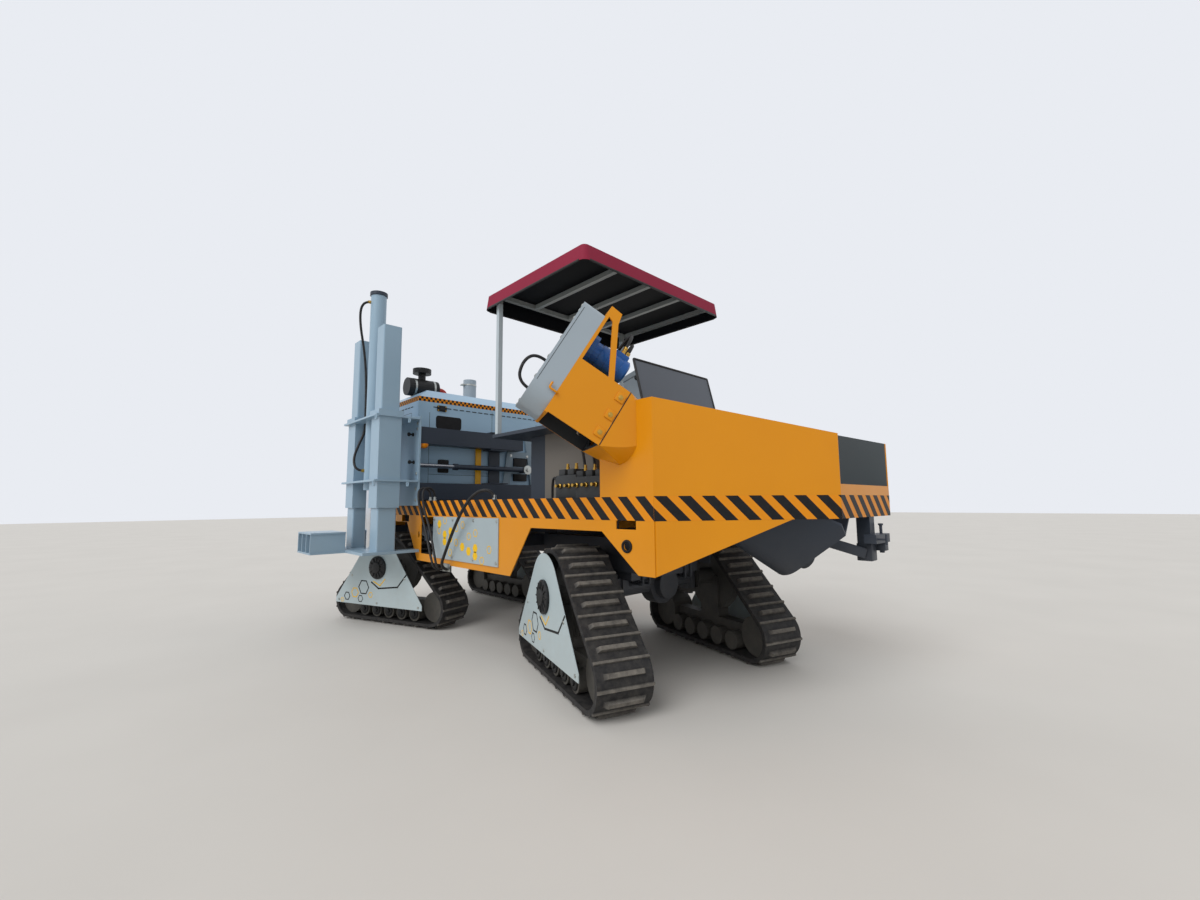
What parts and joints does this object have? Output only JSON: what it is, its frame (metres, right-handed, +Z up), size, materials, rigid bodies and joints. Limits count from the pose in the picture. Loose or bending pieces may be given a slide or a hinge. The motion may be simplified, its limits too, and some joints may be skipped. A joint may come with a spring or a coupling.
{
  "type": "curb slipform machine",
  "caption": "Self-propelled slipform machine on tracks: open hopper with an inclined auger, sliding leg, engine hood and canopy, for extruding kerbs from fresh concrete.",
  "frame": {"origin": "on the ground, below the middle of the machine's outline as parked", "axes": "+X across the machine, away from the auger side; +Y from the hopper end to the engine end; +Z up"},
  "size_m": [3.0691, 5.7944, 3.66],
  "materials": {
    "yellow": "yellow-orange enamel, new, semi-gloss",
    "grey": "light blue-grey enamel, new, satin",
    "slate": "dark slate chassis paint, low sheen",
    "maroon": "maroon-red coated sheet, satin",
    "steel": "bare steel worn by concrete",
    "chrome": "hard chrome plate",
    "rubber": "black rubber, dusty in the grooves",
    "iron": "painted iron casting",
    "motor_blue": "dark blue enamel on a casting"
  },
  "bodies": {
    "chassis": {"side_skirt_left": "yellow", "side_skirt_right": "yellow", "rear_skirt": "yellow", "side_panel": "yellow", "chassis_frame": "slate", "deck_plate": "slate", "hopper_bin": "yellow", "hopper_chute": "slate", "auger_head": "yellow", "chain_case": "grey", "gear_motor": "motor_blue", "trough_bearing": "slate", "hopper_flap": "slate", "hydraulic_tank": "slate", "valve_block": "slate", "operator_console": "grey", "engine_hood": "grey", "engine_block": "iron", "exhaust_stack": "grey", "air_cleaner": "slate", "canopy_roof": "maroon", "canopy_frame": "grey", "slide_frame": "slate", "slide_barrel": "slate", "front_axle": "slate", "rear_axle": "slate", "sensor_bracket": "slate", "platform": "slate", "slide_bracket": "grey", "guard_post": "yellow"},
    "auger": {"auger_screw": "steel"},
    "carriage": {"slide_beam_lower": "slate", "slide_beam_upper": "slate", "leg_sleeves": "grey", "leg_barrel": "grey", "slide_rod": "chrome"},
    "leg": {"leg_tube_front": "grey", "leg_tube_back": "grey", "leg_rod": "chrome", "leg_foot": "grey"},
    "track_front_left": {"track_belt_front_left": "rubber", "track_frame_front_left": "slate", "track_cover_front_left": "grey"},
    "track_front_right": {"track_belt_front_right": "rubber", "track_frame_front_right": "slate", "track_cover_front_right": "grey"},
    "track_rear_right": {"track_belt_rear_right": "rubber", "track_frame_rear_right": "slate", "track_cover_rear_right": "grey"},
    "track_rear_left": {"track_belt_rear_left": "rubber", "track_frame_rear_left": "slate", "track_cover_rear_left": "grey"}
  },
  "joints": [
    {"name": "auger_turn", "type": "hinge", "parent": "chassis", "child": "auger", "pos_m": [-0.645, -1.771, 1.793], "axis": [-0.7481, 0.3994, 0.5299], "continuous": true},
    {"name": "leg_slide", "type": "slide", "parent": "chassis", "child": "carriage", "axis": [-1, 0, 0], "range_m": [0, 0.3]},
    {"name": "leg_lift", "type": "slide", "parent": "carriage", "child": "leg", "axis": [0, 0, 1], "range_m": [-0.35, 0.05]},
    {"name": "steer_front_left", "type": "hinge", "parent": "chassis", "child": "track_front_left", "pos_m": [-0.185, -1.279, 0.62], "axis": [0, 0, 1], "range_deg": [-6, 44]},
    {"name": "steer_front_right", "type": "hinge", "parent": "chassis", "child": "track_front_right", "pos_m": [0.825, -1.279, 0.62], "axis": [0, 0, 1], "range_deg": [-8, 42]},
    {"name": "steer_rear_right", "type": "hinge", "parent": "chassis", "child": "track_rear_right", "pos_m": [0.825, 2.051, 0.62], "axis": [0, 0, 1], "range_deg": [-25, 25]},
    {"name": "steer_rear_left", "type": "hinge", "parent": "leg", "child": "track_rear_left", "pos_m": [-0.815, 1.591, 0.62], "axis": [0, 0, 1], "range_deg": [-28, 5]}
  ]
}
